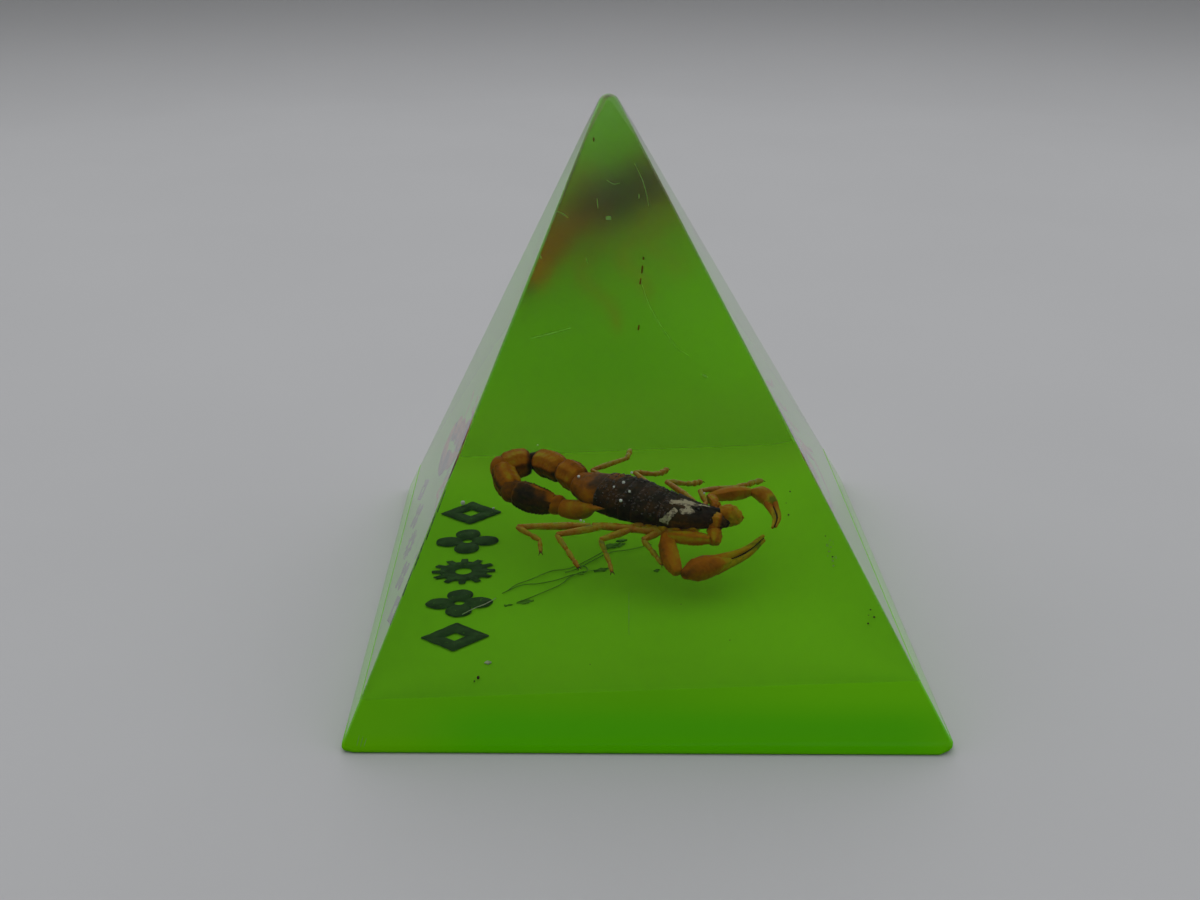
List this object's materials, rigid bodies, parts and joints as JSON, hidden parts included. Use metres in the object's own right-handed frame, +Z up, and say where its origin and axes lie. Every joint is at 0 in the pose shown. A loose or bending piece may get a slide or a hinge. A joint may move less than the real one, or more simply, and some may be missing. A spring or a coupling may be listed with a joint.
{
  "type": "scorpion in resin pyramid",
  "caption": "Clear cast resin pyramid paperweight on a green resin foot, with a dried scorpion sealed inside above the green.",
  "frame": {"origin": "on the flat underside, under the middle of the block's bounding box", "axes": "+Z up towards the pyramid's point, -Y towards the face the scorpion is shown through, +X to the right of that face, where the scorpion's head is"},
  "size_m": [0.0706, 0.071, 0.0673],
  "materials": {
    "clear_resin": "polished clear cast resin, faintly scratched",
    "green_resin": "glossy green dyed cast resin"
  },
  "bodies": {
    "root": {"clear_pyramid": "clear_resin", "green_layer": "green_resin"}
  },
  "joints": []
}
